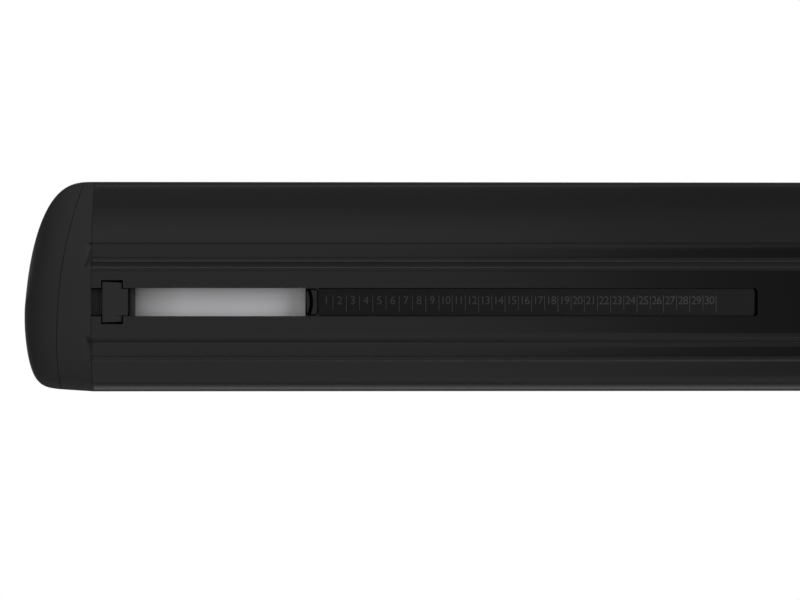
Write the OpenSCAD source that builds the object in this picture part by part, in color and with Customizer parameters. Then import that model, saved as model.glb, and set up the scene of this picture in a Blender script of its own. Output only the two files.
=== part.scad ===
// Roof rack crossbar. An extruded aluminium bar of wing section lies across the roof. Two end caps close it.
// The nose looks along +Y, the underside lies on Z = 0 and the bar runs along X.
// Every end piece is drawn at the left end. The right end mirrors it.

/* [Bar] */
// Length of the extrusion between its two cut ends
bar_len = 1127; // [700:1:1500]
// Height of the wing section
bar_h = 30; // [27:0.5:36]
// Distance from the slot's middle line forward to the nose
nose_d = 34.2; // [31:0.1:42]
// Distance from the slot's middle line back to the tail
tail_d = 46; // [42:0.5:60]
// Height of the nose point and of the tail's middle above the underside
edge_z = 14; // [13:0.5:16]
// Where the slot's middle line lies, forward of the middle of the bar
slot_y = 5.9; // [-4:0.1:10]
// Half width of the flat land under the bar
land_d = 11.4; // [11:0.1:12]
// Radius of the tail edge
tail_r = 3; // [2:0.1:4]
// Angle at which the underside runs into the tail edge
tail_low_deg = 27; // [22:1:32]
// Angle at which the top runs into the tail edge
tail_top_deg = 30; // [26:1:36]
// Thickness of the outer wall
wall = 2.2; // [1.6:0.1:2.6]
// Thickness of the webs between the chambers
web = 2; // [1.4:0.1:2.6]

/* [Underside channel] */
// Half width of the channel under the bar
chan_half = 10; // [9.5:0.1:10.6]
// Height of the channel's ceiling
chan_z = 9; // [8.9:0.1:10]
// Half width of the slot that opens the channel
slot_half = 5.3; // [4.9:0.1:6]
// Length of the slot from the cut end
slot_len = 251.9; // [200:0.1:320]
// Radius of the slot's closed corners
slot_corner_r = 1.2; // [0.5:0.1:3]
// Start of the cross notch for the catch, from the cut end
notch_start = 3.9; // [3:0.1:6]
// Length of the cross notch along the bar
notch_len = 8.1; // [7:0.1:9]
// Half width of the cross notch
notch_half = 8.3; // [7.8:0.1:8.4]

/* [Grooves] */
// Distance from the slot's middle line to the inner side of the groove's floor
groove_in = 17.3; // [16.4:0.1:18]
// Distance from the slot's middle line to the groove's outer edge
groove_out = 22.5; // [21.6:0.1:24]
// Height of the groove's floor above the underside
groove_z = 3.3; // [2.6:0.1:3.5]

/* [Top track] */
// Half width of the mouth of the top track
mouth_half = 5.5; // [4.5:0.1:6.5]
// Height of the floor of the top track
track_z = 19.5; // [18:0.1:20]
// Thickness of the track's two lips at the mouth
lip_top = 2.6; // [2.2:0.1:3]
// How far the rubber strip stands proud of the bar
strip_proud = 0.6; // [0.3:0.1:1]
// Thickness of the rubber strip's foot under the lips
strip_foot = 1.4; // [1:0.1:2]
// Number of fine grooves along the rubber strip
strip_grooves = 4; // [2:1:5]

/* [End cap] */
// How far the end cap stands out beyond the cut end
cap_len = 26.6; // [25:0.1:34]
// Where the end cap is longest, forward of the slot's middle line
cap_tip_d = 5.4; // [0:0.1:12]
// Distance from the cut end at which the end cap starts to lose height
cap_height_start = 4.8; // [3:0.1:6]
// How late the tail side of the end cap turns in
cap_tail_power = 3; // [2.4:0.1:3.6]
// How late the nose side of the end cap turns in
cap_nose_power = 8.7; // [6:0.1:10]
// How much the nose side draws in evenly before it turns, as a share of its width
cap_nose_taper = 0.06; // [0:0.01:0.1]
// How square the end cap is from below to above
cap_height_power = 2.6; // [2:0.1:3.4]
// Radius of the curved seam between collar and cover
seam_r = 215; // [180:1:400]
// Distance from the cut end to the farthest point of the seam
seam_u = 12.9; // [12.4:0.1:14]
// Where the seam is farthest out, forward of the slot's middle line
seam_d = 16; // [10:0.5:20]
// Gap that shows as the seam line
seam_gap = 0.2; // [0.1:0.05:0.4]
// Gap between the collar and the bar's cut end
end_gap = 0.1; // [0.05:0.05:0.3]
// How far the collar's spigots reach into the bar
spigot_len = 20; // [12:0.5:40]
// Wall of the collar's hollow spigots
spigot_wall = 1.8; // [1.2:0.1:2.4]
// How far the cover's pocket takes in the collar's boss
boss_len = 4.2; // [3:0.1:4.5]
// Clearance between seated pieces
fit = 0.3; // [0.2:0.05:0.4]

/* [Catch] */
// Distance of the catch's pivot outside the cut end
pivot_u = 8; // [7:0.1:8.6]
// Height of the catch's pivot above the underside
pivot_z = 3.5; // [3.4:0.1:3.8]
// Radius of the pivot pin
pin_r = 1; // [0.8:0.05:1.1]
// Length of the pivot pin
pin_len = 14; // [12:0.5:18]
// Radial running clearance round the pin
pin_play = 0.05; // [0.03:0.01:0.08]
// Radius of the catch's eye round the pin
eye_r = 2; // [1.7:0.1:2.1]
// Half width of the catch's arm and head
head_half = 5; // [4.5:0.05:5]
// Half width over the catch's ears
ear_half = 7.65; // [7:0.05:7.7]
// How far the ears narrow towards their inner end
ear_taper = 0.35; // [0:0.05:0.6]
// Gap between the head and the notch on either side
head_gap = 0.4; // [0.3:0.05:0.6]
// Length of the head beyond the cross notch's end
head_nose = 1.8; // [1:0.1:2.2]
// Height of the arm's lower face above the underside
arm_z = 2.6; // [2.4:0.1:2.8]
// Thickness of the arm
arm_t = 1.7; // [1.4:0.1:1.8]
// Thickness of the head at its inner end
head_t = 2.6; // [2.4:0.1:2.8]
// How far the head lies back from the underside
head_back = 0.15; // [0.1:0.05:0.3]
// How far the sloping end of each ear lies back at its inner corner
ear_slope = 0.8; // [0.4:0.1:1.2]
// Gap between the head's inner end and the cross bar of the collar's tongue
tongue_gap = 0.55; // [0.5:0.05:1]
// Thickness of the tongue's roof and cross bar
tongue_t = 1.3; // [1.1:0.1:1.4]
// Distance of the spring from the cut end
spring_u = 9; // [8.5:0.1:9.4]
// Radius of the spring's turns at the wire's middle
spring_r = 1.45; // [1.2:0.05:1.5]
// Diameter of the spring's wire
wire_d = 0.45; // [0.35:0.05:0.5]
// Number of turns of the spring
spring_turns = 4; // [3:1:5]

/* [Scale strip] */
// Distance from the cut end to the outer end of the pull
pull_start = 80.7; // [70:0.1:100]
// Length of the glossy pull
pull_len = 4.9; // [4:0.1:7]
// Gap between the strip's inner end and the slot's closed end
strip_end_gap = 1.2; // [0.8:0.1:2]
// How far the strip lies back from the underside
strip_back = 0.5; // [0.3:0.05:1]
// Thickness of the strip's flanges inside the channel
flange_t = 1.8; // [1.4:0.1:2.4]
// Half width of the strip's face in the slot
face_half = 5.1; // [4.5:0.05:5.2]
// Distance from the strip's outer end to the first mark
mark_start_gap = 5.5; // [2:0.1:20]
// Least distance from the last mark to the strip's inner end
mark_end_gap = 14; // [2:0.5:30]
// Distance between marks
mark_pitch = 5; // [2:0.5:10]
// Length of the shorter marks, with every other mark a little longer
mark_len = 5.6; // [3:0.1:6]
// Width of a mark
mark_w = 0.3; // [0.2:0.05:0.6]
// How far a mark stands out of the strip's face
mark_proud = 0.15; // [0.1:0.05:0.25]

/* [Hidden] */

// How finely the curves of the section and of the end cap are drawn
curve_steps = 12;
tip_steps = 8;
ring_steps = 11;
ring_end_deg = 84;
round_fn = 48;
// A little more than nothing, for cuts that run past a face
past = 1;

black = "#2a2a2b";
cap_black = "#2c2c2d";
strip_black = "#1d1d1e";
gloss_black = "#0c0c0d";
steel = "#b9bcc0";

// Underside of the wing section at a distance d behind or in front of the slot's middle line
tail_tip_d = tail_d - tail_r;
low_end_d = tail_tip_d + tail_r * sin(tail_low_deg);
low_end_z = edge_z - tail_r * cos(tail_low_deg);
low_power = tan(tail_low_deg) * (low_end_d - land_d) / low_end_z;
function tail_low(d) = d <= land_d ? 0 : low_end_z * pow((d - land_d) / (low_end_d - land_d), low_power);
function nose_low(d) =
    d <= land_d ? 0 : edge_z - edge_z * sqrt(max(0, 1 - pow((d - land_d) / (nose_d - land_d), 2)));

// Top of the wing section at a distance d behind or in front of the slot's middle line
top_end_d = tail_tip_d + tail_r * sin(tail_top_deg);
top_end_z = edge_z + tail_r * cos(tail_top_deg);
top_power = tan(tail_top_deg) * top_end_d / (bar_h - top_end_z);
function tail_top(d) = bar_h - (bar_h - top_end_z) * pow(d / top_end_d, top_power);
function nose_top(d) = edge_z + (bar_h - edge_z) * sqrt(max(0, 1 - pow(d / nose_d, 2)));

// Evenly spread numbers from a to b, with n steps between them
function spread(a, b, n) = [for (i = [0 : n]) a + (b - a) * i / n];

// The outline's stretches, which follow one another from the land round the tail, the top and the nose
low_from = groove_out + 1.4;
function tail_low_run(d0) = [for (d = spread(d0, low_end_d, curve_steps)) [slot_y - d, tail_low(d)]];
tail_tip_run = [for (a = spread(tail_low_deg, 180 - tail_top_deg, tip_steps))
    [slot_y - tail_tip_d - tail_r * sin(a), edge_z - tail_r * cos(a)]];
tail_top_run = [for (d = spread(top_end_d, 0, curve_steps)) [slot_y - d, tail_top(d)]];
nose_top_run = [for (a = spread(90, 0, curve_steps))
    [slot_y + nose_d * cos(a), edge_z + (bar_h - edge_z) * sin(a)]];
function nose_low_run(d0) = [for (a = spread(90, asin((d0 - land_d) / (nose_d - land_d)), curve_steps))
    [slot_y + land_d + (nose_d - land_d) * sin(a), edge_z - edge_z * cos(a)]];
function rest_of(run) = [for (i = [1 : len(run) - 1]) run[i]];
top_runs = concat(rest_of(tail_tip_run), rest_of(tail_top_run), rest_of(nose_top_run));

// The smooth outline, which the end caps have
cap_outline = concat(tail_low_run(land_d), top_runs, rest_of(nose_low_run(land_d)));

// One groove from the land to its outer edge, which ends on the underside curve of its side
out_run = 2.5;
function ease(t) = pow(t, 3) * (10 - 15 * t + 6 * t * t);
function groove_floor(low_at_out) = concat(
    [for (t = [0.14, 0.27, 0.38, 0.62, 0.73, 0.86, 1])
        [land_d + (groove_in - land_d) * t, groove_z * ease(t)]],
    [for (t = [0, 0.4, 0.72, 1])
        [groove_out - out_run * (1 - t), groove_z - (groove_z - low_at_out) * pow(t, 3)]]
);
tail_floor = groove_floor(tail_low(groove_out));
tail_groove = [for (p = tail_floor) [slot_y - p.x, p.y]];
nose_floor = groove_floor(nose_low(groove_out));
nose_groove = [for (i = [len(nose_floor) - 1 : -1 : 0]) [slot_y + nose_floor[i].x, nose_floor[i].y]];
bar_outline = concat(
    [[slot_y - land_d, 0]], tail_groove, tail_low_run(low_from), top_runs,
    rest_of(nose_low_run(low_from)), nose_groove, [[slot_y + land_d, 0]]
);

// The two chambers beside the channels, shrunk all round by a clearance g
chamber_d = chan_half + web;
chamber_low_z = groove_z + wall;
chamber_tail_d = tail_tip_d - tail_r;
function tail_chamber(g) = concat(
    [[slot_y - chamber_d - g, chamber_low_z + g]],
    [for (d = spread(groove_out, chamber_tail_d - g, 5))
        [slot_y - d, max(chamber_low_z, tail_low(d) + wall / cos(tail_low_deg)) + g]],
    [for (d = spread(chamber_tail_d - g, chamber_d + g, 6))
        [slot_y - d, tail_top(d) - wall / cos(tail_top_deg) - g]]
);
nose_arc_deg = [12, 84, 36];
function nose_chamber(g) = let (r = wall + g, a = nose_d - r, low_a = a - land_d) concat(
    [for (t = spread(90, nose_arc_deg[0], 8))
        let (d = a * cos(t)) if (d > chamber_d + g) [slot_y + d, edge_z + (bar_h - edge_z - r) * sin(t)]],
    [for (t = spread(nose_arc_deg[1], nose_arc_deg[2], 6))
        [slot_y + land_d + low_a * sin(t), max(chamber_low_z + g, edge_z - (edge_z - r) * cos(t))]],
    [[slot_y + chamber_d + g, chamber_low_z + g],
     [slot_y + chamber_d + g, nose_top(chamber_d + g) - 1.2 * r]]
);

// Draws a section of the bar, given as Y and Z, from u0 to u1 along the bar
module along(u0, u1) {
    translate([u0, 0, 0]) rotate([90, 0, 90]) linear_extrude(u1 - u0) children();
}

// A block from u0 to u1 along the bar, of a half width about the slot's middle line, from z0 to z1
module block(u0, u1, half, z0, z1) {
    translate([u0, slot_y - half, z0]) cube([u1 - u0, 2 * half, z1 - z0]);
}

// Puts what is drawn at a cut end of the bar, with +X inboard, on the left end or the right end
module at_end(side) {
    if (side == "left") translate([-bar_len / 2, 0, 0]) children();
    else translate([bar_len / 2, 0, 0]) mirror([1, 0, 0]) children();
}

// Plan of a strip or slot from u0 to u1 whose inner end has round corners
module round_ended(u0, u1, half, r) {
    translate([u0, slot_y - half]) square([u1 - u0 - r, 2 * half]);
    translate([u0, slot_y - half + r]) square([u1 - u0, 2 * (half - r)]);
    for (side = [-1, 1])
        translate([u1 - r, slot_y + side * (half - r)]) circle(r = r, $fn = round_fn);
}

// Slot and cross notch that are milled into the underside at one end
module slot_cut() {
    translate([0, 0, -past]) linear_extrude(wall + past + fit)
        round_ended(-past, slot_len, slot_half, slot_corner_r);
    block(notch_start, notch_start + notch_len, notch_half, -past, wall + fit);
}

// Extrusion: wing section with a closed channel below, an open track above and chambers beside them
module bar() {
    color(black) difference() {
        along(-bar_len / 2, bar_len / 2) difference() {
            polygon(bar_outline);
            polygon(tail_chamber(0));
            polygon(nose_chamber(0));
            translate([slot_y - chan_half, wall]) square([2 * chan_half, chan_z - wall]);
            translate([slot_y - chan_half, chan_z + web])
                square([2 * chan_half, track_z - chan_z - 2 * web]);
            translate([slot_y - chan_half, track_z]) square([2 * chan_half, bar_h - lip_top - track_z]);
            translate([slot_y - mouth_half, track_z]) square([2 * mouth_half, bar_h]);
        }
        at_end("left") slot_cut();
        at_end("right") slot_cut();
    }
}

// Rubber strip that closes the mouth of the top track
strip_half = mouth_half - 0.1;
strip_foot_half = (mouth_half + chan_half) / 2;
strip_groove_w = 1;
module track_strip() {
    lip_z = bar_h - lip_top;
    color(strip_black) along(-bar_len / 2, bar_len / 2) difference() {
        union() {
            translate([slot_y - strip_half, lip_z - strip_foot])
                square([2 * strip_half, lip_top + strip_proud + strip_foot]);
            translate([slot_y - strip_foot_half, lip_z - strip_foot])
                square([2 * strip_foot_half, strip_foot - seam_gap / 2]);
        }
        for (i = [1 : strip_grooves])
            translate([slot_y - strip_half + 2 * strip_half * i / (strip_grooves + 1), bar_h + strip_proud])
                circle(d = strip_groove_w, $fn = 6);
    }
}

// End cap body: rings of the smooth outline that shrink towards the tip
tip_y = slot_y + cap_tip_d;
tail_tip_power = 1.68;
nose_tip_power = 1.82;
ring_us = [for (a = spread(0, ring_end_deg, ring_steps)) cap_len * sin(a)];
function tail_shrink(u) = pow(1 - pow(u / cap_len, cap_tail_power), 1 / tail_tip_power);
function nose_shrink(u) =
    (1 - cap_nose_taper * u / cap_len) * pow(1 - pow(u / cap_len, cap_nose_power), 1 / nose_tip_power);
function height_shrink(u) = u <= cap_height_start ? 1 : pow(
    1 - pow((u - cap_height_start) / (cap_len - cap_height_start), cap_height_power), 1 / cap_height_power);
function ring_point(p, u) = [
    -u,
    tip_y + (p.x - tip_y) * (p.x < tip_y ? tail_shrink(u) : nose_shrink(u)),
    edge_z + (p.y - edge_z) * height_shrink(u)
];
module cap_body() {
    n = len(cap_outline);
    rings = len(ring_us);
    last = n * rings;
    points = concat(
        [for (u = ring_us) for (p = cap_outline) ring_point(p, u)],
        [[-cap_len, tip_y, edge_z]]
    );
    faces = concat(
        [[for (i = [0 : n - 1]) i]],
        [for (r = [0 : rings - 2]) for (i = [0 : n - 1]) let (j = (i + 1) % n, a = r * n, b = a + n)
            each [[a + i, b + i, a + j], [a + j, b + i, b + j]]],
        [for (i = [0 : n - 1]) [last - n + i, last, last - n + (i + 1) % n]]
    );
    polyhedron(points, faces, convexity = 4);
}

// Drum whose round face is the seam between the collar and the cover
module seam_drum(r) {
    translate([seam_r - seam_u, slot_y + seam_d, -past]) cylinder(r = r, h = bar_h + 2 * past, $fn = 360);
}

// How far a groove runs on into the collar, below its mouth and above its floor, at its inner and outer side
tail_run_on = [[3.1, 6.8], [2.2, -0.6]];
nose_run_on = [[2.5, 4.6], [1, 0]];
// The bar's grooves run on into the collar and end on a ramp
module groove_end(floor_points, run_on) {
    d_in = land_d;
    d_out = groove_out + past;
    z_low = -past;
    z_high = groove_z + past;
    intersection() {
        along(-run_on[0][1] - past, past) polygon(concat(
            floor_points, [[groove_out, z_low], [land_d, z_low], [land_d, 0]]
        ));
        polyhedron(
            [
                [-run_on[0][0], d_in, z_low], [-run_on[0][1], d_out, z_low],
                [-run_on[1][1], d_out, z_high], [-run_on[1][0], d_in, z_high],
                [past, d_in, z_low], [past, d_out, z_low], [past, d_out, z_high], [past, d_in, z_high]
            ],
            [
                [0, 1, 2], [0, 2, 3], [5, 4, 7, 6],
                [0, 4, 5, 1], [1, 5, 6, 2], [2, 6, 7, 3], [3, 7, 4, 0]
            ]
        );
    }
}

// Boss on the collar, and the pocket for it in the cover: a plain oval inside the outline
boss_tail_d = 26;
boss_nose_d = 22;
boss_low_z = 6.5;
boss_top_z = 23.5;
module boss_outline(g) {
    r = (boss_top_z - boss_low_z) / 2 - g;
    mid_z = (boss_top_z + boss_low_z) / 2;
    translate([slot_y - boss_tail_d + g + r, mid_z]) circle(r = r, $fn = round_fn);
    translate([slot_y + boss_nose_d - g - r, mid_z]) circle(r = r, $fn = round_fn);
    translate([slot_y - boss_tail_d + g + r, mid_z - r])
        square([boss_tail_d + boss_nose_d - 2 * (g + r), 2 * r]);
}

// Space in the collar and its tongue for the catch's arm and eye
spring_floor = 0.5;
cross_bar_w = 1.55;
tongue_line_w = 0.3;
arm_room_u = pivot_u + eye_r + fit;
tongue_half = chan_half - fit;
tongue_top = chan_z - fit;
tongue_wall_half = ear_half + fit + seam_gap;
spring_seat_z = tongue_top - spring_floor;

// Collar: seats on the cut end, with hollow spigots in the chambers and a tongue in the channel
module cap_collar() {
    color(cap_black) difference() {
        union() {
            difference() {
                intersection() {
                    cap_body();
                    seam_drum(seam_r);
                }
                translate([-end_gap, -tail_d * 2, -past]) cube([past * 4, tail_d * 4, bar_h * 2]);
                translate([0, slot_y, 0]) mirror([0, 1, 0]) groove_end(tail_floor, tail_run_on);
                translate([0, slot_y, 0]) groove_end(nose_floor, nose_run_on);
            }
            along(-seam_u - boss_len, -seam_u / 2) boss_outline(fit);
            along(-end_gap - past, spigot_len) difference() {
                polygon(tail_chamber(fit));
                polygon(tail_chamber(fit + spigot_wall));
            }
            along(-end_gap - past, spigot_len) difference() {
                polygon(nose_chamber(fit));
                polygon(nose_chamber(fit + spigot_wall));
            }
            tongue();
        }
        block(-arm_room_u, past, head_half + fit, pivot_z - eye_r - fit, tongue_top - tongue_t);
        translate([-pivot_u, slot_y - pin_len / 2, pivot_z]) rotate([-90, 0, 0])
            cylinder(r = pin_r, h = pin_len, $fn = round_fn);
    }
}

// Tongue of the collar: roof, two side walls and a cross bar, with a seat for the spring
module tongue() {
    low_z = wall + fit;
    cross_bar_u = head_u1 + tongue_gap;
    tongue_len = cross_bar_u + cross_bar_w;
    line_u = cross_bar_u + tongue_line_w;
    difference() {
        block(-end_gap - past, tongue_len, tongue_half, low_z, tongue_top);
        block(-end_gap - 2 * past, cross_bar_u, tongue_wall_half, low_z - past, tongue_top - tongue_t);
        translate([spring_u, slot_y, low_z])
            cylinder(r = spring_r + wire_d / 2 + fit, h = spring_seat_z - low_z, $fn = round_fn);
        block(line_u, line_u + tongue_line_w, head_half, low_z - past, low_z + tongue_line_w);
    }
}

// Cover: the rounded end beyond the seam, with a pocket for the collar's boss
module cap_cover() {
    color(cap_black) difference() {
        cap_body();
        seam_drum(seam_r + seam_gap);
        along(-seam_u - boss_len - fit, 0) boss_outline(0);
    }
}

// Catch: eye, arm and a cross-shaped head whose ears fill the notch
head_u0 = notch_start + head_gap;
ear_u1 = notch_start + notch_len - head_gap;
head_u1 = notch_start + notch_len + head_nose;
ear_slope_u = notch_start + notch_len / 2;
head_seat_z = 1.2;
arm_rib_pitch = 0.9;
arm_rib_count = 4;
arm_rib_t = 0.25;
// The shoulders rest on the channel's lips beyond the notch and stop the catch from swinging out
shoulder_half = ear_half - 0.3;
shoulder_gap = 0.15;
shoulder_t = 0.9;
module catch_lever() {
    color(cap_black) difference() {
        union() {
            translate([-pivot_u, slot_y - head_half, pivot_z]) rotate([-90, 0, 0])
                cylinder(r = eye_r, h = 2 * head_half, $fn = round_fn);
            block(-pivot_u, head_u0 + past, head_half, arm_z, arm_z + arm_t);
            for (i = [0 : arm_rib_count - 1])
                let (u = head_u0 - (i + 1) * arm_rib_pitch)
                    block(u, u + arm_rib_pitch / 2, head_half, arm_z - arm_rib_t, arm_z + arm_t / 2);
            translate([0, slot_y + head_half, 0]) rotate([90, 0, 0]) linear_extrude(2 * head_half)
                polygon([
                    [head_u0, head_back], [head_u1, head_back],
                    [head_u1, head_t], [head_u0, arm_z + arm_t]
                ]);
            translate([0, slot_y, head_back]) linear_extrude(wall) polygon([
                [head_u0, -ear_half], [ear_u1, -ear_half + ear_taper],
                [ear_u1, ear_half - ear_taper], [head_u0, ear_half]
            ]);
            block(notch_start + notch_len + head_gap, head_u1, shoulder_half,
                wall + shoulder_gap, wall + shoulder_gap + shoulder_t);
        }
        for (side = [-1, 1])
            translate([0, slot_y + (side > 0 ? notch_half : -head_half), 0])
                rotate([90, 0, 0]) linear_extrude(notch_half - head_half) polygon([
                    [ear_slope_u, head_back - past], [ear_u1 + past, head_back - past],
                    [ear_u1 + past, head_back + ear_slope], [ear_slope_u, head_back]
                ]);
        translate([-pivot_u, slot_y - head_half - past, pivot_z]) rotate([-90, 0, 0])
            cylinder(r = pin_r + pin_play, h = 2 * (head_half + past), $fn = round_fn);
        translate([spring_u, slot_y, head_seat_z])
            cylinder(r = spring_r + wire_d / 2 + fit, h = chan_z, $fn = round_fn);
    }
}

// Pin through the collar's walls and the catch's eye
pin_end_gap = 0.1;
module catch_pin() {
    color(steel) translate([-pivot_u, slot_y - pin_len / 2 + pin_end_gap, pivot_z]) rotate([-90, 0, 0])
        cylinder(r = pin_r, h = pin_len - 2 * pin_end_gap, $fn = round_fn);
}

// Small coil spring between the head's seat and the tongue's seat
coil_sides = 6;
coil_steps = 14;
module catch_spring() {
    z0 = head_seat_z + wire_d / 2 + 0.05;
    rise = spring_seat_z - head_seat_z - wire_d - 0.1;
    n = spring_turns * coil_steps;
    points = [for (i = [0 : n]) for (k = [0 : coil_sides - 1])
        let (a = 360 * i / coil_steps, b = 360 * k / coil_sides, r = spring_r + wire_d / 2 * cos(b))
        [r * cos(a), r * sin(a), z0 + rise * i / n + wire_d / 2 * sin(b)]];
    sides = [for (i = [0 : n - 1]) for (k = [0 : coil_sides - 1])
        let (j = (k + 1) % coil_sides, p = i * coil_sides, q = p + coil_sides)
        each [[p + k, p + j, q + k], [p + j, q + j, q + k]]];
    start = [for (k = [coil_sides - 1 : -1 : 0]) k];
    finish = [for (k = [0 : coil_sides - 1]) n * coil_sides + k];
    color(steel) translate([spring_u, slot_y, 0]) polyhedron(points, concat([start], sides, [finish]));
}

// Section of the strip and its pull: a face in the slot and flanges inside the channel
flange_half = chan_half - fit;
strip_u0 = pull_start + pull_len;
strip_u1 = slot_len - strip_end_gap;
mark_low = 2.5;
mark_longer = 0.8;
tenon_len = 6;
tenon_half = 3;
tenon_t = 0.8;
tenon_z = wall + fit + (flange_t - tenon_t) / 2;
tenon_play = 0.1;
module flanges(u0, u1) {
    block(u0, u1, flange_half, wall + fit, wall + fit + flange_t);
}

// Strip that fills the slot and carries raised marks
module scale_strip() {
    mark_u0 = strip_u0 + mark_start_gap;
    mark_count = 1 + floor((strip_u1 - mark_end_gap - mark_u0) / mark_pitch);
    color(strip_black) difference() {
        union() {
            translate([0, 0, strip_back]) linear_extrude(wall + fit + flange_t / 2 - strip_back)
                round_ended(strip_u0, strip_u1, face_half, slot_corner_r);
            flanges(strip_u0, strip_u1);
            for (i = [0 : mark_count - 1])
                translate([mark_u0 + i * mark_pitch - mark_w / 2, slot_y - mark_low, strip_back - mark_proud])
                    cube([mark_w, mark_len + (i % 2) * mark_longer, mark_proud * 2]);
        }
        block(strip_u0 - past, strip_u0 + tenon_len + fit, tenon_half + tenon_play,
            tenon_z - tenon_play, tenon_z + tenon_t + tenon_play);
    }
}

// Glossy pull on the strip's outer end, with a curved groove for a fingertip
pull_back = 0.3;
pull_corner_r = 1.5;
pull_groove_r = 12;
pull_groove_w = 1.4;
pull_groove_depth = 1.3;
pull_plate_len = 1.9;
pull_side_rim = 0.4;
module strip_pull() {
    u1 = strip_u0 - seam_gap / 2;
    groove_u = u1 - pull_plate_len - pull_groove_w;
    cut_h = past + pull_groove_depth;
    color(gloss_black) difference() {
        union() {
            translate([0, 0, pull_back]) linear_extrude(wall + fit + flange_t / 2 - pull_back)
                round_ended(pull_start, u1, face_half, pull_corner_r);
            flanges(pull_start, u1);
            block(u1 - past, strip_u0 + tenon_len, tenon_half, tenon_z, tenon_z + tenon_t);
        }
        intersection() {
            translate([groove_u - pull_groove_r, slot_y, pull_back - past]) difference() {
                cylinder(r = pull_groove_r + pull_groove_w, h = cut_h, $fn = 96);
                translate([0, 0, -past]) cylinder(r = pull_groove_r, h = cut_h + 2 * past, $fn = 96);
            }
            block(pull_start - past, u1, face_half - pull_side_rim, pull_back - past, pull_back + cut_h);
        }
    }
}

bar();
track_strip();
at_end("left") cap_collar();  // left_cap_collar
at_end("left") cap_cover();  // left_cap_cover
at_end("left") catch_lever();  // left_catch
at_end("left") catch_pin();  // left_catch_pin
at_end("left") catch_spring();  // left_catch_spring
at_end("left") scale_strip();  // left_scale_strip
at_end("left") strip_pull();  // left_strip_pull
at_end("right") cap_collar();  // right_cap_collar
at_end("right") cap_cover();  // right_cap_cover
at_end("right") catch_lever();  // right_catch
at_end("right") catch_pin();  // right_catch_pin
at_end("right") catch_spring();  // right_catch_spring
at_end("right") scale_strip();  // right_scale_strip
at_end("right") strip_pull();  // right_strip_pull
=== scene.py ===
# Roof rack crossbar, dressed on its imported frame. The camera looks up at the underside of the left end.
# Lengths are in millimetres and turned into metres by MM where Blender gets them, unless a comment says metres.
import math

import bmesh
import bpy
from mathutils import Matrix, Vector


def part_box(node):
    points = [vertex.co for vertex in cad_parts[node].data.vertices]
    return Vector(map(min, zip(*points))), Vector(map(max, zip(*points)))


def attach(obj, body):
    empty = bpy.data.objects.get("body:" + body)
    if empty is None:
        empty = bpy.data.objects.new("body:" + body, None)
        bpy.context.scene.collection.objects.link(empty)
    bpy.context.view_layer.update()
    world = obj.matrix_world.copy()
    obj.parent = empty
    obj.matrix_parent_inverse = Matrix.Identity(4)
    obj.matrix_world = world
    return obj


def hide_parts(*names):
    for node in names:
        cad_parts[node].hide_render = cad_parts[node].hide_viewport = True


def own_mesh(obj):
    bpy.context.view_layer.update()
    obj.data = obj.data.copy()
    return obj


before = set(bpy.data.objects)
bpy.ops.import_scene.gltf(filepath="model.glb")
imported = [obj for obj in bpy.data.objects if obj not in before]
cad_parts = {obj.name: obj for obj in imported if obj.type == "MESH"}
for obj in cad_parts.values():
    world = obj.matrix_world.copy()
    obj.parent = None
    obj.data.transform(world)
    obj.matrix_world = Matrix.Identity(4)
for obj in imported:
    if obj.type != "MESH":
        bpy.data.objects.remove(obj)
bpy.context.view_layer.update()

MM = 0.001
SIDES = {"left": -1, "right": 1}

# The bar's own places
_, bar_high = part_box("bar")
CUT_X = (bar_high / MM).x  # each cut end lies this far from the bar's middle
SLOT_Y = 5.9  # the slot's middle line
EDGE_Z = 14.0  # height of the nose's and the tail's edges
BAR_H = 30.0


# Finishes

def linear(hex_colour):
    """An sRGB hex colour as the linear RGBA that shaders take."""
    parts = [int(hex_colour[i:i + 2], 16) / 255 for i in (0, 2, 4)]
    return [c / 12.92 if c <= 0.04045 else ((c + 0.055) / 1.055) ** 2.4 for c in parts] + [1]


def add(tree, kind, settings=None, links=None, **properties):
    """Adds a node to the tree, with its own properties, its inputs' values and the links into it."""
    node = tree.nodes.new(kind)
    for name, value in properties.items():
        setattr(node, name, value)
    for name, value in (settings or {}).items():
        node.inputs[name].default_value = value
    for name, source in (links or {}).items():
        tree.links.new(source, node.inputs[name])
    return node


GRAIN_DETAIL = 3.0
GRAIN_LOW, GRAIN_HIGH = 0.3, 0.7  # nearly all of the noise lies between these


def finish(name, colour, metallic, grain, rough, depth=0.0, drawn=1.0, **settings):
    """A material whose grain is drawn out along the bar, varies the roughness and raises the surface.

    Grain and depth are in millimetres, and rough holds the lowest and the highest roughness.
    """
    material = bpy.data.materials.new(name)
    material.use_nodes = True
    tree = material.node_tree
    shader = tree.nodes["Principled BSDF"]
    for socket, value in {"Base Color": linear(colour), "Metallic": metallic, **settings}.items():
        shader.inputs[socket].default_value = value
    place = add(tree, "ShaderNodeTexCoord")
    scaled = add(tree, "ShaderNodeMapping", {"Scale": [1 / (s * grain * MM) for s in (drawn, 1, 1)]},
                 {"Vector": place.outputs["Object"]})
    noise = add(tree, "ShaderNodeTexNoise", {"Scale": 1.0, "Detail": GRAIN_DETAIL},
                {"Vector": scaled.outputs[0]})
    between = add(tree, "ShaderNodeMapRange",
                  {"From Min": GRAIN_LOW, "From Max": GRAIN_HIGH, "To Min": rough[0], "To Max": rough[1]},
                  {"Value": noise.outputs[0]})
    tree.links.new(between.outputs[0], shader.inputs["Roughness"])
    if depth:
        relief = add(tree, "ShaderNodeBump", {"Strength": 1.0, "Distance": depth * MM},
                     {"Height": noise.outputs[0]})
        tree.links.new(relief.outputs[0], shader.inputs["Normal"])
    return material


def anodised_aluminium():
    """Extruded, etched and anodised black: satin metal with faint draw lines along the bar."""
    return finish("anodised_aluminium_black", colour="282828", metallic=1.0, grain=0.9, rough=(0.23, 0.27),
                  depth=0.002, drawn=400)


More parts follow.
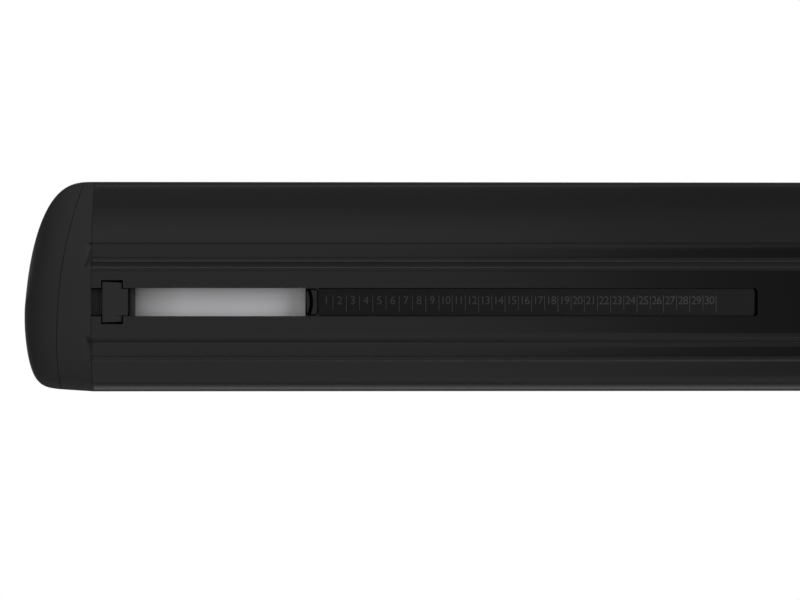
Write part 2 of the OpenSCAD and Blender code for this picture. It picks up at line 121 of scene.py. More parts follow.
def lip_painted_light():
    """The steep outer lip of the nose groove: a matte, half diffuse copy of the black metal that the lamps light,
    painted light in place of the reflection that it lacks.
    """
    return finish("anodised_aluminium_etched_lip", colour="222222", metallic=0.3, grain=0.9, rough=(0.5, 0.6),
                  drawn=400)


BARE_GREY, PAINTED_SHADE_GREY, BATH_BLACK = "A7A7A9", "707071", "0A0A0A"
BARE_LEN, BLACKENED = 250.0, 6.0  # the channel is bare over this length, and blackens over the last of it
PAINTED_SHADE_FROM, PAINTED_SHADE_FULL_FROM = 34.0, 12.0  # painted shade by the catch's tongue starts this far from the cut end and is full at the second


def bare_aluminium():
    """Extruded and left bare: the light, frosted inside of the channel, with painted shade that darkens it
    towards the cut end, next to the catch's tongue.

    Past the strip's inner end the channel has taken the black of the anodising bath.
    """
    material = finish("extruded_aluminium_bare", colour=BARE_GREY, metallic=0.4, grain=0.7, rough=(0.40, 0.48),
                      depth=0.002, drawn=300)
    tree = material.node_tree
    place = add(tree, "ShaderNodeTexCoord")
    axes = add(tree, "ShaderNodeSeparateXYZ", links={0: place.outputs["Object"]})
    along = add(tree, "ShaderNodeMath", links={0: axes.outputs["X"]}, operation="ABSOLUTE")
    to_end = add(tree, "ShaderNodeMapRange", {"From Min": (CUT_X - BARE_LEN) * MM, "From Max": CUT_X * MM},
                 {"Value": along.outputs[0]})
    tint = add(tree, "ShaderNodeValToRGB", links={0: to_end.outputs[0]})
    stops = tint.color_ramp.elements
    stops[0].color, stops[1].color = linear(BATH_BLACK), linear(PAINTED_SHADE_GREY)
    # painted shade: the bare grey darkens over the last few centimetres towards the cut end, next to the catch's
    # tongue
    for away, colour in ((BARE_LEN - BLACKENED, BARE_GREY), (PAINTED_SHADE_FROM, BARE_GREY), (PAINTED_SHADE_FULL_FROM, PAINTED_SHADE_GREY)):
        stops.new(1 - away / BARE_LEN).color = linear(colour)
    tree.links.new(tint.outputs[0], tree.nodes["Principled BSDF"].inputs["Base Color"])
    return material


def moulded_cap_plastic():
    """Glass filled polyamide from a spark eroded mould: matte black with a fine even grain."""
    return finish("polyamide_moulded_black", colour="242424", metallic=0.0, grain=0.45, rough=(0.5, 0.62),
                  depth=0.01, **{"IOR": 1.5, "Specular IOR Level": 0.06})


def moulded_strip_plastic():
    """Polypropylene strip from a smooth mould: matte, and darker than the caps."""
    return finish("polypropylene_matte_black", colour="101010", metallic=0.0, grain=0.4, rough=(0.55, 0.66),
                  depth=0.005, **{"IOR": 1.49, "Specular IOR Level": 0.06})


def strip_plastic_painted_lit():
    """The strip's plastic where it stands proud as numbers and marks: painted lighter, as if light caught their
    faces.
    """
    return finish("polypropylene_painted_lit_faces", colour="272727", metallic=0.0, grain=0.4, rough=(0.55, 0.66),
                  **{"IOR": 1.49, "Specular IOR Level": 0.06})


def gloss_plastic():
    """ABS from a polished mould: deep black with sharp highlights and a slight swell."""
    return finish("abs_polished_black", colour="040404", metallic=0.0, grain=3.0, rough=(0.07, 0.09),
                  depth=0.01, **{"IOR": 1.52, "Specular IOR Level": 0.19})


def track_rubber():
    """Extruded EPDM: dull black rubber with a dry bloom and faint lines along it."""
    return finish("epdm_rubber_black", colour="161616", metallic=0.0, grain=0.5, rough=(0.68, 0.82),
                  depth=0.01, drawn=60, **{"IOR": 1.5, "Specular IOR Level": 0.3})


def spring_steel():
    """Drawn and zinc plated steel for the pin and the spring: bright with fine draw marks."""
    return finish("zinc_plated_steel", colour="B4B7BB", metallic=1.0, grain=0.25, rough=(0.22, 0.34))


FINISHES = {
    "black_anodised_aluminium": anodised_aluminium(),
    "cap_plastic": moulded_cap_plastic(),
    "strip_plastic": moulded_strip_plastic(),
    "gloss_plastic": gloss_plastic(),
    "black_rubber": track_rubber(),
    "bright_steel": spring_steel(),
}
BARE = bare_aluminium()
LIP_FINISH_PAINTED_LIGHT = lip_painted_light()
PAINTED_LIT_MARK_PLASTIC = strip_plastic_painted_lit()


# Dressing of the CAD pieces

SAME_POINT = 0.002  # corners of CAD faces nearer than this are one
FLAT_DEGREES = 0.3  # faces that turn less than this are one flat
SHARP_DEGREES = 32  # edges that turn more than this are rounded
EDGE_SEGMENTS = 2
INSIDE_HALF, INSIDE_LOW, INSIDE_HIGH = 10.05, 2.15, 9.05  # a box just round the channel's inside
LIP_D, LIP_HIGH, LIP_LEAN = 21.0, 3.6, 0.55  # the lip lies this far from the slot, this low, and this steep
MARK_HIGH = 0.43  # what lies lower on the scale strip is a raised mark

# How far each CAD piece's edges are rounded
ROUNDING = {
    "bar": 0.15, "track_strip": 0.2, "cap_collar": 0.15, "catch": 0.12,
    "scale_strip": 0.1, "strip_pull": 0.05, "catch_pin": 0.15,
}


def geometry_tree(name):
    tree = bpy.data.node_groups.new(name, "GeometryNodeTree")
    for way in ("INPUT", "OUTPUT"):
        tree.interface.new_socket("Geometry", in_out=way, socket_type="NodeSocketGeometry")
    return tree


def joined_faces():
    """Joins the CAD faces along their edges and lets go of the flat shading that they came with."""
    tree = geometry_tree("joined_faces")
    came = add(tree, "NodeGroupInput")
    plain = add(tree, "GeometryNodeRemoveAttribute", {"Name": "custom_normal"}, {"Geometry": came.outputs[0]})
    joined = add(tree, "GeometryNodeMergeByDistance", {"Distance": SAME_POINT * MM},
                 {"Geometry": plain.outputs[0]})
    add(tree, "NodeGroupOutput", links={0: joined.outputs[0]})
    return tree


def smooth_faces():
    """Shades every face smooth, and keeps the sharp edges."""
    tree = geometry_tree("smooth_faces")
    came = add(tree, "NodeGroupInput")
    smooth = add(tree, "GeometryNodeSetShadeSmooth", {"Shade Smooth": True}, {"Geometry": came.outputs[0]},
                 domain="FACE")
    angle = add(tree, "GeometryNodeInputMeshEdgeAngle")
    sharp = add(tree, "FunctionNodeCompare", {1: math.radians(SHARP_DEGREES)},
                {0: angle.outputs["Unsigned Angle"]}, operation="GREATER_THAN")
    kept = add(tree, "GeometryNodeSetShadeSmooth", {"Shade Smooth": False},
               {"Geometry": smooth.outputs[0], "Selection": sharp.outputs[0]}, domain="EDGE")
    add(tree, "NodeGroupOutput", links={0: kept.outputs[0]})
    return tree


# What can be measured of a face: its place across the bar, its height, and how far it leans to the nose
MEASURES = {
    "across": ("GeometryNodeInputPosition", "Y"),
    "height": ("GeometryNodeInputPosition", "Z"),
    "lean": ("GeometryNodeInputNormal", "Y"),
}


def finish_where(name, material, tests):
    """Gives a finish to the faces that pass all the tests: a measure, how it compares, and with what."""
    tree = geometry_tree(name)
    came = add(tree, "NodeGroupInput")
    passed = None
    for measure, comparison, limit in tests:
        kind, axis = MEASURES[measure]
        seen = add(tree, kind)
        axes = add(tree, "ShaderNodeSeparateXYZ", links={0: seen.outputs[0]})
        test = add(tree, "FunctionNodeCompare", {1: limit}, {0: axes.outputs[axis]}, operation=comparison)
        if passed is not None:
            test = add(tree, "FunctionNodeBooleanMath", links={0: passed.outputs[0], 1: test.outputs[0]},
                       operation="AND")
        passed = test
    finished = add(tree, "GeometryNodeSetMaterial", {"Material": material},
                   {"Geometry": came.outputs[0], "Selection": passed.outputs[0]})
    add(tree, "NodeGroupOutput", links={0: finished.outputs[0]})
    return tree


JOINED = joined_faces()
SMOOTH = smooth_faces()
INSIDE = finish_where("bare_inside", BARE, [
    ("across", "GREATER_THAN", (SLOT_Y - INSIDE_HALF) * MM), ("across", "LESS_THAN", (SLOT_Y + INSIDE_HALF) * MM),
    ("height", "GREATER_THAN", INSIDE_LOW * MM), ("height", "LESS_THAN", INSIDE_HIGH * MM)])
# painted light: the nose groove's steep outer lip gets a lighter, matte copy of the black metal in place of its
# reflection
LIP_PAINTED_LIGHT_TREE = finish_where("lip_painted_light_faces", LIP_FINISH_PAINTED_LIGHT, [
    ("across", "GREATER_THAN", (SLOT_Y + LIP_D) * MM), ("height", "LESS_THAN", LIP_HIGH * MM),
    ("lean", "LESS_THAN", -LIP_LEAN)])
# painted light: the faces of the raised marks are painted lighter, as if lit
MARKS = finish_where("painted_lit_marks", PAINTED_LIT_MARK_PLASTIC, [("height", "LESS_THAN", MARK_HIGH * MM)])


def with_tree(piece, tree):
    piece.modifiers.new(tree.name, "NODES").node_group = tree


def round_edges(piece, width, segments, degrees, miter):
    edges = piece.modifiers.new("edges", "BEVEL")
    edges.width, edges.segments, edges.miter_outer = width * MM, segments, miter
    edges.limit_method, edges.angle_limit = "ANGLE", math.radians(degrees)


def even_shading(piece):
    """Shades a piece smooth after its larger faces."""
    with_tree(piece, SMOOTH)
    even = piece.modifiers.new("even", "WEIGHTED_NORMAL")
    even.keep_sharp = True


def dress(piece, rounding):
    """Joins a CAD piece's faces, rounds its edges a little and evens its shading."""
    with_tree(piece, JOINED)
    if "scale_strip" in piece.name:
        with_tree(piece, MARKS)
    else:
        flats = piece.modifiers.new("flats", "DECIMATE")
        flats.decimate_type, flats.angle_limit = "DISSOLVE", math.radians(FLAT_DEGREES)
    if piece.name == "bar":
        with_tree(piece, INSIDE)
        with_tree(piece, LIP_PAINTED_LIGHT_TREE)
    if rounding:
        round_edges(piece, rounding, EDGE_SEGMENTS, SHARP_DEGREES, "MITER_ARC")
    even_shading(piece)


for name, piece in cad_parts.items():
    kind = name.removeprefix("left_").removeprefix("right_")
    slot = piece.material_slots[0].material.name
    piece.material_slots[0].material = FINISHES[slot]
    dress(piece, ROUNDING.get(kind, 0))


# Making of new pieces

def in_scene(name, data):
    thing = bpy.data.objects.new(name, data)
    bpy.context.scene.collection.objects.link(thing)
    return thing


def new_piece(name, mesh, body, slot, finish_of=None):
    """A piece that rides on a body. Its finish is the slot's own, unless it is given."""
    piece = in_scene(name, mesh)
    mesh.materials.clear()
    mesh.materials.append(finish_of or FINISHES[slot])
    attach(piece, body)
    return piece


def ring(shape, points):
    """Adds points to a shape and gives them back in their order."""
    return [shape.verts.new(Vector(point) * MM) for point in points]


def band(shape, near, far):
    """Adds the faces between two closed rings."""
    for i in range(len(near)):
        j = (i + 1) % len(near)
        shape.faces.new((near[i], near[j], far[j], far[i]))


def mesh_of(name, shape):
    """Turns a finished shape into a mesh."""
    mesh = bpy.data.meshes.new(name)
    shape.to_mesh(mesh)
    shape.free()
    return mesh


def end_mesh(name, shape, side):
    """Turns a closed shape, drawn at the left cut end, into a mesh there, or mirrored at the right one."""
    bmesh.ops.recalc_face_normals(shape, faces=shape.faces)
    mesh = mesh_of(name, shape)
    turn = Matrix.Diagonal((-SIDES[side], 1, 1, 1))
    mesh.transform(Matrix.Translation(Vector((SIDES[side] * CUT_X * MM, 0, 0))) @ turn)
    if side == "right":
        mesh.flip_normals()
    return mesh


def applied(piece):
    """Makes a piece's modifiers part of its mesh."""
    seen = piece.evaluated_get(bpy.context.evaluated_depsgraph_get())
    mesh = bpy.data.meshes.new_from_object(seen)
    piece.modifiers.clear()
    piece.data = mesh


def worked(piece, steps):
    """Cuts meshes out of a piece or joins them to it, one after the other."""
    tools = []
    for operation, mesh in steps:
        tool = in_scene(mesh.name, mesh)
        step = piece.modifiers.new(mesh.name, "BOOLEAN")
        step.operation, step.object, step.solver = operation, tool, "EXACT"
        tools.append(tool)
    applied(piece)
    for tool in tools:
        bpy.data.objects.remove(tool)


# Cap covers. Places across are measured from the slot's middle line to the nose or to the tail.

LAND_D, NOSE_D = 11.4, 34.2  # half the flat underside, and the nose
TIP_R, TIP_D = 3.0, 43.0  # the tail's round edge
LOW_END, TOP_END = math.radians(27), math.radians(30)  # how steeply the tail's faces meet that edge
CAP_LEN, CAP_HEIGHT_START, CAP_TIP_Y = 26.6, 4.8, 11.3
TAIL_POWER, TAIL_TIP_POWER = 3.0, 1.68  # how full the cap's outline is at the tail
NOSE_POWER, NOSE_TIP_POWER, NOSE_TAPER = 8.7, 1.82, 0.06  # and at the nose
HEIGHT_POWER = 2.6  # and in height
SEAM_R, SEAM_X, SEAM_Y = 215.2, 202.1, 21.9  # the seam is part of a wide circle
SEAM_GUESS, SEAM_TRIES = 10.0, 40
SEAM_LIP_SHARE, SEAM_LIP_PROUD = 0.97, 0.17  # a low lip inside the seam keeps light from passing through it
SEAM_ROUNDING, SEAM_SEGMENTS, SEAM_DEGREES = 0.25, 3, 40
BOSS_TAIL_D, BOSS_NOSE_D, BOSS_Z, BOSS_R, POCKET_DEEP = 26.0, 22.0, 15.0, 8.5, 17.4
COVER_RINGS, NOSE_STEPS, TAIL_STEPS, TIP_STEPS, BOSS_STEPS = 36, 30, 40, 10, 24

low_end_d, low_end_z = TIP_D + TIP_R * math.sin(LOW_END), EDGE_Z - TIP_R * math.cos(LOW_END)
low_power = math.tan(LOW_END) * (low_end_d - LAND_D) / low_end_z
top_end_d, top_end_z = TIP_D + TIP_R * math.sin(TOP_END), EDGE_Z + TIP_R * math.cos(TOP_END)
top_power = math.tan(TOP_END) * top_end_d / (BAR_H - top_end_z)


def tip_rise(d):
    return math.sqrt(max(0.0, TIP_R ** 2 - (d - TIP_D) ** 2))


def low_z(y):
    """Height of the wing section's underside at y."""
    if y >= SLOT_Y + LAND_D:
        share = (y - SLOT_Y - LAND_D) / (NOSE_D - LAND_D)
        return EDGE_Z - EDGE_Z * math.sqrt(max(0.0, 1 - share ** 2))
    d = SLOT_Y - y
    if d <= LAND_D:
        return 0.0
    if d > low_end_d:
        return EDGE_Z - tip_rise(d)
    return low_end_z * ((d - LAND_D) / (low_end_d - LAND_D)) ** low_power


def top_z(y):
    """Height of the wing section's top at y."""
    if y >= SLOT_Y:
        return EDGE_Z + (BAR_H - EDGE_Z) * math.sqrt(max(0.0, 1 - ((y - SLOT_Y) / NOSE_D) ** 2))
    d = SLOT_Y - y
    if d > top_end_d:
        return EDGE_Z + tip_rise(d)
    return BAR_H - (BAR_H - top_end_z) * (d / top_end_d) ** top_power


def section_ys():
    """Places across the section from the tail edge to the nose, closer together round both."""
    tip = [SLOT_Y - TIP_D - TIP_R * math.cos(0.5 * math.pi * i / TIP_STEPS) for i in range(TIP_STEPS)]
    start = SLOT_Y - TIP_D
    tail = [start + (SLOT_Y - start) * i / TAIL_STEPS for i in range(TAIL_STEPS)]
    nose = [SLOT_Y + NOSE_D * math.sin(0.5 * math.pi * i / NOSE_STEPS) for i in range(NOSE_STEPS + 1)]
    return tip + tail + nose


def shrink(share, power, tip_power):
    """How much of its size the outline keeps at a share of the way to the tip."""
    return max(0.0, 1 - share ** power) ** (1 / tip_power)


def cap_point(y, z, u):
    """A point of the outline moved out by u along the cap, where the outline has shrunk towards the tip."""
    share = min(1.0, u / CAP_LEN)
    if y < CAP_TIP_Y:
        across = shrink(share, TAIL_POWER, TAIL_TIP_POWER)
    else:
        across = (1 - NOSE_TAPER * share) * shrink(share, NOSE_POWER, NOSE_TIP_POWER)
    low_share = min(1.0, max(0.0, (u - CAP_HEIGHT_START) / (CAP_LEN - CAP_HEIGHT_START)))
    up = shrink(low_share, HEIGHT_POWER, HEIGHT_POWER)
    return Vector((-u, CAP_TIP_Y + (y - CAP_TIP_Y) * across, EDGE_Z + (z - EDGE_Z) * up))


def seam_start(y):
    """How far out along the cap the seam passes at a place of the outline."""
    u = SEAM_GUESS
    for _ in range(SEAM_TRIES):
        moved = cap_point(y, EDGE_Z, u).y
        u = math.sqrt(SEAM_R ** 2 - (moved - SEAM_Y) ** 2) - SEAM_X
    return u


def cover_skin(name, side):
    """The rounded cover as a closed solid: rings from the seam to the tip, and the seam's face with its lip."""
    ys = section_ys()
    outline = [(y, low_z(y)) for y in ys] + [(y, top_z(y)) for y in reversed(ys[1:-1])]
    count = len(outline)
    shape = bmesh.new()
    starts = [seam_start(y) for y, _ in outline]
    rings = []
    for k in range(COVER_RINGS):
        share = math.sin(0.5 * math.pi * k / COVER_RINGS)
        rings.append(ring(shape, [cap_point(y, z, start + (CAP_LEN - start) * share)
                                  for (y, z), start in zip(outline, starts)]))
    for near, far in zip(rings, rings[1:]):
        band(shape, near, far)
    tip = shape.verts.new(cap_point(CAP_TIP_Y, EDGE_Z, CAP_LEN) * MM)
    for i in range(count):
        shape.faces.new((rings[-1][i], tip, rings[-1][(i + 1) % count]))
    inner = [(CAP_TIP_Y + (y - CAP_TIP_Y) * SEAM_LIP_SHARE, EDGE_Z + (z - EDGE_Z) * SEAM_LIP_SHARE)
             for y, z in outline]
    foot, edge = (ring(shape, [cap_point(y, z, seam_start(y) - proud) for y, z in inner])
                  for proud in (0.0, SEAM_LIP_PROUD))
    band(shape, rings[0], foot)
    band(shape, foot, edge)
    for i in range(len(ys) - 1):
        corners = [edge[i], edge[i + 1], edge[count - i - 1], edge[(count - i) % count]]
        shape.faces.new([corner for n, corner in enumerate(corners) if corner not in corners[:n]])
    return end_mesh(name, shape, side)


def boss_pocket(side):
    """What is cut out of the cover: the plain oval that the collar's boss fits."""
    oval = []
    for way, middle_y in ((1, SLOT_Y + BOSS_NOSE_D - BOSS_R), (-1, SLOT_Y - BOSS_TAIL_D + BOSS_R)):
        for i in range(BOSS_STEPS + 1):
            turn = math.pi * (i / BOSS_STEPS - 0.5)
            oval.append((middle_y + way * BOSS_R * math.cos(turn), BOSS_Z + way * BOSS_R * math.sin(turn)))
    shape = bmesh.new()
    mouth, floor = (ring(shape, [(-u, y, z) for y, z in oval]) for u in (0.0, POCKET_DEEP))
    shape.faces.new(mouth)
    shape.faces.new(floor)
    band(shape, mouth, floor)
    return end_mesh("boss_pocket", shape, side)


for side in SIDES:
    name = side + "_cover_shell"
    cover = new_piece(name, cover_skin(name, side), "bar", "cap_plastic")
    worked(cover, [("DIFFERENCE", boss_pocket(side))])
    round_edges(cover, SEAM_ROUNDING, SEAM_SEGMENTS, SEAM_DEGREES, "MITER_SHARP")
    even_shading(cover)
    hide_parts(side + "_cap_cover")


# Catch springs, at their rest length; the real ones shorten as the catch is pressed

for side in SIDES:
    name = side + "_catch_spring"
    coil = new_piece(side + "_coil_spring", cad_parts[name].data.copy(), "bar", "bright_steel")
    dress(coil, 0)
    applied(coil)
    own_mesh(coil)
    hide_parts(name)


# Pulls

PULL_START, PULL_END = 80.7, 85.6  # from the cut end
PULL_HALF, PULL_CORNER_R, CORNER_STEPS = 5.1, 1.5, 8
PULL_FACE_Z = 0.3
PLATE_LEN, GROOVE_W, GROOVE_R, GROOVE_DEPTH, GROOVE_HALF, GROOVE_STEPS = 1.9, 1.4, 12.0, 1.3, 4.7, 32
INTO_PULL = 0.05  # the slope runs this far into the pull's own plastic
RIM_PAST, RIM_W, RIM_DEPTH = 0.2, 0.65, 1.0  # what is cut off starts outside the pull by the first


def pull_outline(out, z):
    """The pull's rounded outline, moved out a little."""
    radius = PULL_CORNER_R + out
    points = []
    for quarter in range(4):
        middle_x = PULL_END - PULL_CORNER_R if quarter in (0, 3) else PULL_START + PULL_CORNER_R
        middle_y = SLOT_Y + (PULL_HALF - PULL_CORNER_R) * (1 if quarter in (0, 1) else -1)
        for step in range(CORNER_STEPS + 1):
            turn = 0.5 * math.pi * (quarter + step / CORNER_STEPS)
            points.append((middle_x + radius * math.cos(turn), middle_y + radius * math.sin(turn), z))
    return points


def rim_chamfer(side):
    """What is cut off round the pull's face, which leaves it a steep chamfer."""
    shape = bmesh.new()
    outer = ring(shape, pull_outline(RIM_PAST, PULL_FACE_Z - RIM_PAST))
    inner = ring(shape, pull_outline(-RIM_W, PULL_FACE_Z - RIM_PAST))
    deep = ring(shape, pull_outline(RIM_PAST, PULL_FACE_Z + RIM_DEPTH))
    for near, far in ((outer, inner), (inner, deep), (deep, outer)):
        band(shape, near, far)
    return end_mesh("rim_chamfer", shape, side)


def groove_slope(side):
    """The slope inside the pull's curved groove, from its deep outer wall up to the plate's edge."""
    middle = PULL_END - PLATE_LEN - GROOVE_W - GROOVE_R
    floor_z = PULL_FACE_Z + GROOVE_DEPTH + INTO_PULL
    plate_r = GROOVE_R + GROOVE_W + INTO_PULL
    corners = ((GROOVE_R - INTO_PULL, floor_z), (plate_r, floor_z), (plate_r, PULL_FACE_Z + INTO_PULL))
    shape = bmesh.new()
    across = []
    for i in range(GROOVE_STEPS + 1):
        y = (GROOVE_HALF + INTO_PULL) * (2 * i / GROOVE_STEPS - 1)
        across.append(ring(shape, [(middle + math.sqrt(r ** 2 - y ** 2), SLOT_Y + y, z) for r, z in corners]))
    for near, far in zip(across, across[1:]):
        band(shape, near, far)
    shape.faces.new(across[0])
    shape.faces.new(across[-1])
    return end_mesh("groove_slope", shape, side)


for side in SIDES:
    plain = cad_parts[side + "_strip_pull"]
    pull = new_piece(side + "_sloped_pull", plain.data.copy(), side + "_strip", "gloss_plastic")
    with_tree(pull, JOINED)
    worked(pull, [("UNION", groove_slope(side)), ("DIFFERENCE", rim_chamfer(side))])
    dress(pull, ROUNDING["strip_pull"])
    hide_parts(side + "_strip_pull")


# Numbers on the scale

MARK_PITCH, MARK_COUNT = 5.0, 30
FIRST_MARK = 91.1  # from the cut end
NUMBER_SIZE, NUMBER_SPACING, NUMBER_STEPS = 4.4, 0.86, 3
NUMBER_Y = SLOT_Y - 0.5  # a little to the tail side
FACE_Z, NUMBER_PROUD = 0.5, 0.1


def number_mesh(text):
    """One number as a low solid that faces down, read from below with the tail side up."""
    curve = bpy.data.curves.new("number", "FONT")
    curve.body, curve.size, curve.extrude = text, NUMBER_SIZE * MM, NUMBER_PROUD * MM
    curve.align_x, curve.align_y = "CENTER", "CENTER"
    curve.space_character, curve.resolution_u = NUMBER_SPACING, NUMBER_STEPS
    lettering = in_scene("number", curve)
    seen = lettering.evaluated_get(bpy.context.evaluated_depsgraph_get())
    mesh = bpy.data.meshes.new_from_object(seen)
    bpy.data.objects.remove(lettering)
    mesh.transform(Matrix.Rotation(math.pi, 4, "X"))
    return mesh


for side, way in SIDES.items():
    shape = bmesh.new()
    for i in range(MARK_COUNT):
        mesh = number_mesh(str(i + 1))
        away = FIRST_MARK + (i - 0.5) * MARK_PITCH  # each number stands between two marks
        mesh.transform(Matrix.Translation(Vector((way * (CUT_X - away), NUMBER_Y, FACE_Z)) * MM))
        shape.from_mesh(mesh)
        bpy.data.meshes.remove(mesh)
    # painted light: the numbers are painted lighter, as if lit, like the marks
    name = side + "_scale_numbers"
    new_piece(name, mesh_of(name, shape), side + "_strip", "strip_plastic", PAINTED_LIT_MARK_PLASTIC)


# Camera: straight up at the left end, turned a little towards the cap

CAMERA_TILT = math.radians(1.12)
CAMERA_AWAY = 890.0
LENS, SENSOR_W = 106.1, 36.0
CLIP_NEAR, CLIP_FAR = 0.01, 50  # metres
AIM_FROM_CUT, AIM_Y = 116.4, 5.1
AIM = Vector((AIM_FROM_CUT - CUT_X, AIM_Y, 0.0))


def camera():
    data = bpy.data.cameras.new("camera")
    data.lens, data.sensor_width = LENS, SENSOR_W
    data.clip_start, data.clip_end = CLIP_NEAR, CLIP_FAR
    eye = in_scene("camera", data)
    ahead = Vector((math.sin(CAMERA_TILT), 0, math.cos(CAMERA_TILT)))
    right = Vector((math.cos(CAMERA_TILT), 0, -math.sin(CAMERA_TILT)))
    up = Vector((0, -1, 0))
    turn = Matrix((right, up, -ahead)).transposed().to_4x4()
    eye.matrix_world = Matrix.Translation((AIM - CAMERA_AWAY * ahead) * MM) @ turn
    bpy.context.scene.camera = eye


# Floor, cards, lamps and world, all in metres

FLOOR_R, FLOOR_Z, FLOOR_CORNERS = 3.0, -0.0006, 96
FADE_FROM, FADE_TO = 1.0, 2.6
PAPER = "F4F4F3"
CARD_Z = -1.0

# Each card's level, and its corners from the aim. The cards darken the bar away from the end in the picture.
CARDS = {
    "middle_card": (0.29, ((0.09, -0.35), (1.6, -0.35), (1.6, 0.35), (0.27, 0.35))),
    "tail_card": (0.8, ((0.16, -1.25), (1.6, -1.25), (1.6, -0.35), (0.16, -0.35))),
    "rim_card": (0.35, ((0.3, -2.2), (2.4, -2.2), (2.4, -1.25), (0.16, -1.25))),
    "nose_card": (0.55, ((0.31, 0.35), (1.6, 0.35), (2.4, 3.0), (0.42, 3.0))),
}

# Each lamp's watts, place, aim and size
LAMPS = {
    "right_key": (3.0, (0.75, -0.6, -0.9), (0.5, 0, 0), (0.6, 0.6)),
    "under_key": (9.0, (AIM.x * MM - 0.7, -0.85, -1.15), (AIM.x * MM, 0, 0), (2.0, 0.7)),
    "under_fill": (2.6, (-0.12, -0.08, -0.3), (-0.32, 0, 0), (0.3, 0.3)),
    "top_key": (50.0, (-0.5, -0.3, 2.2), (0, 0, 0), (1.6, 1.6)),
    "top_fill": (25.0, (0.8, 0.6, 2.0), (0, 0, 0), (1.6, 1.6)),
}

# What shiny faces see round the bar: degrees from straight down, to the nose if positive, and the level there
WRAP = [
    # above, and round the tail's edge
    (-180, 1.0), (-168, 1.0), (-158, 0.3), (-130, 0.3), (-112, 0.5), (-104, 0.7),
    # the bright line along the tail's edge
    (-76, 0.7), (-72, 0.8), (-69.5, 3.0), (-63.5, 3.0), (-61, 0.5),
    # darker, light and dark across the tail
    (-50, 0.35), (-45, 1.38), (-36, 1.3), (-26, 1.1), (-23.5, 0.15), (-17.5, 0.15),
    # one even level for the flats and the nose
    (-15, 1.07), (10, 1.07), (20, 1.08), (74, 1.08), (88, 1.2),
    # a dark line, then the bright nose edge
    (91, 0.2), (96, 0.2), (100, 0.9), (108, 1.3), (124, 1.8),
    # dark round the nose's edge, and above
    (131, 0.2), (158, 0.15), (168, 1.0), (180, 1.0),
]
WRAP_TOP = 3.6  # the level that white on the ramp stands for
END_FROM, END_TO, END_SHARE = 0.6, 0.9, 0.15  # the wrap darkens to this share towards the bar's two ends
AMBIENT = 0.45


def hide(thing, *rays):
    """Hides a thing from some kinds of rays."""
    for ray in rays:
        setattr(thing, "visible_" + ray, False)


def empty_material(name):
    material = bpy.data.materials.new(name)
    material.use_nodes = True
    material.node_tree.nodes.clear()
    return material


def studio_floor():
    """Pale floor just under the bar. Only the camera sees it, and only from above."""
    bpy.ops.mesh.primitive_circle_add(vertices=FLOOR_CORNERS, radius=FLOOR_R, fill_type="NGON",
                                      location=(0, 0, FLOOR_Z))
    floor = bpy.context.object
    floor.name = "studio_floor"
    material = empty_material("studio_paper")
    tree = material.node_tree
    place = add(tree, "ShaderNodeTexCoord")
    length = add(tree, "ShaderNodeVectorMath", links={0: place.outputs["Object"]}, operation="LENGTH")
    fade = add(tree, "ShaderNodeMapRange", {"From Min": FADE_FROM, "From Max": FADE_TO},
               {"Value": length.outputs["Value"]}, interpolation_type="SMOOTHSTEP")
    side = add(tree, "ShaderNodeNewGeometry")
    unseen = add(tree, "ShaderNodeMath", links={0: fade.outputs[0], 1: side.outputs["Backfacing"]},
                 operation="MAXIMUM")
    paper = add(tree, "ShaderNodeBsdfDiffuse", {"Color": linear(PAPER)})
    clear = add(tree, "ShaderNodeBsdfTransparent")
    mixed = add(tree, "ShaderNodeMixShader",
                links={0: unseen.outputs[0], 1: paper.outputs[0], 2: clear.outputs[0]})
    add(tree, "ShaderNodeOutputMaterial", links={"Surface": mixed.outputs[0]})
    floor.data.materials.append(material)
    hide(floor, "shadow", "diffuse", "glossy", "transmission")


def grey_card(name, level, corners):
    """A grey card a metre below the bar that only shiny faces see."""
    shape = bmesh.new()
    shape.faces.new([shape.verts.new((AIM.x * MM + x, y, CARD_Z)) for x, y in corners])
    mesh = mesh_of(name, shape)
    card = in_scene(name, mesh)
    material = empty_material(name)
    tree = material.node_tree
    glow = add(tree, "ShaderNodeEmission", {"Strength": level})
    add(tree, "ShaderNodeOutputMaterial", links={"Surface": glow.outputs[0]})
    mesh.materials.append(material)
    hide(card, "camera", "shadow", "diffuse", "transmission")


def lamp(name, watts, place, look_at, size):
    """A soft oblong lamp that neither the camera nor shiny faces see."""
    data = bpy.data.lights.new(name, "AREA")
    data.energy, data.shape = watts, "RECTANGLE"
    data.size, data.size_y = size
    light = in_scene(name, data)
    light.location = place
    light.rotation_euler = (Vector(look_at) - Vector(place)).to_track_quat("-Z", "Y").to_euler()
    hide(light, "camera", "glossy")


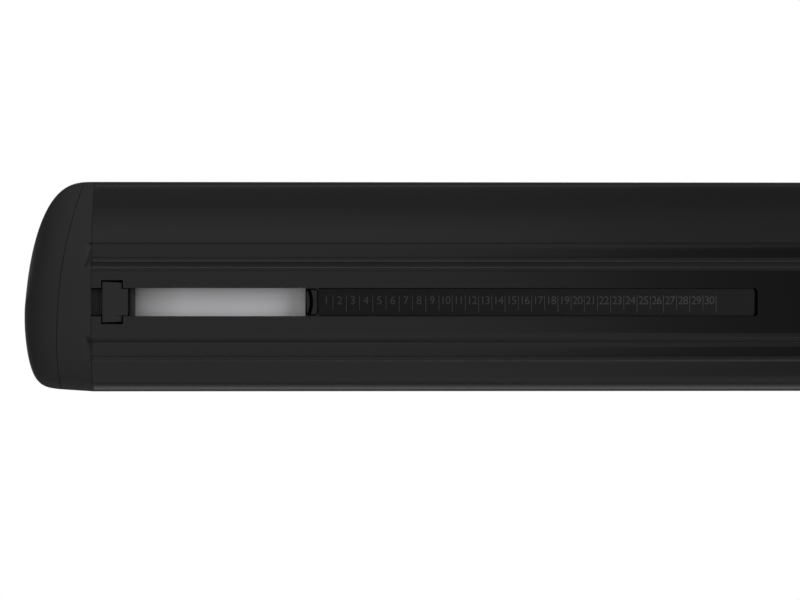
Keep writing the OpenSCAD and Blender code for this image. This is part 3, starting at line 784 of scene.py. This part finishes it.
def studio_world():
    """White round the bar for the camera, the wrap for what shines and a plain level for the rest."""
    world = bpy.data.worlds.new("studio_world")
    bpy.context.scene.world = world
    world.use_nodes = True
    tree = world.node_tree
    tree.nodes.clear()
    way = add(tree, "ShaderNodeTexCoord")
    axes = add(tree, "ShaderNodeSeparateXYZ", links={0: way.outputs["Generated"]})
    below = add(tree, "ShaderNodeMath", {1: -1.0}, {0: axes.outputs["Z"]}, operation="MULTIPLY")
    turn = add(tree, "ShaderNodeMath", links={0: axes.outputs["Y"], 1: below.outputs[0]}, operation="ARCTAN2")
    share = add(tree, "ShaderNodeMapRange", {"From Min": -math.pi, "From Max": math.pi},
                {"Value": turn.outputs[0]})
    wrap = add(tree, "ShaderNodeValToRGB", links={0: share.outputs[0]})
    stops = wrap.color_ramp.elements
    for degrees, seen in WRAP:
        at_end = {-180: stops[0], 180: stops[-1]}
        stop = at_end.get(degrees) or stops.new((degrees + 180) / 360)
        stop.color = [seen / WRAP_TOP] * 3 + [1]
    endways = add(tree, "ShaderNodeMath", links={0: axes.outputs["X"]}, operation="ABSOLUTE")
    ends = add(tree, "ShaderNodeMapRange",
               {"From Min": END_FROM, "From Max": END_TO, "To Min": WRAP_TOP, "To Max": END_SHARE * WRAP_TOP},
               {"Value": endways.outputs[0]})
    shining = add(tree, "ShaderNodeMath", links={0: wrap.outputs[0], 1: ends.outputs[0]}, operation="MULTIPLY")
    path = add(tree, "ShaderNodeLightPath")
    soft = add(tree, "ShaderNodeMix", {"A": AMBIENT},
               {"Factor": path.outputs["Is Glossy Ray"], "B": shining.outputs[0]})
    clear = add(tree, "ShaderNodeMath",
                links={0: path.outputs["Is Camera Ray"], 1: path.outputs["Is Transmission Ray"]},
                operation="MAXIMUM")
    level = add(tree, "ShaderNodeMix", {"B": 1.0}, {"Factor": clear.outputs[0], "A": soft.outputs[0]})
    glow = add(tree, "ShaderNodeBackground", {"Color": (1, 1, 1, 1)}, {"Strength": level.outputs[0]})
    add(tree, "ShaderNodeOutputWorld", links={"Surface": glow.outputs[0]})


studio_floor()
studio_world()
for name, (level, corners) in CARDS.items():
    grey_card(name, level, corners)
for name, (watts, place, look_at, size) in LAMPS.items():
    lamp(name, watts, place, look_at, size)
camera()
bpy.context.scene.view_settings.view_transform = "Standard"
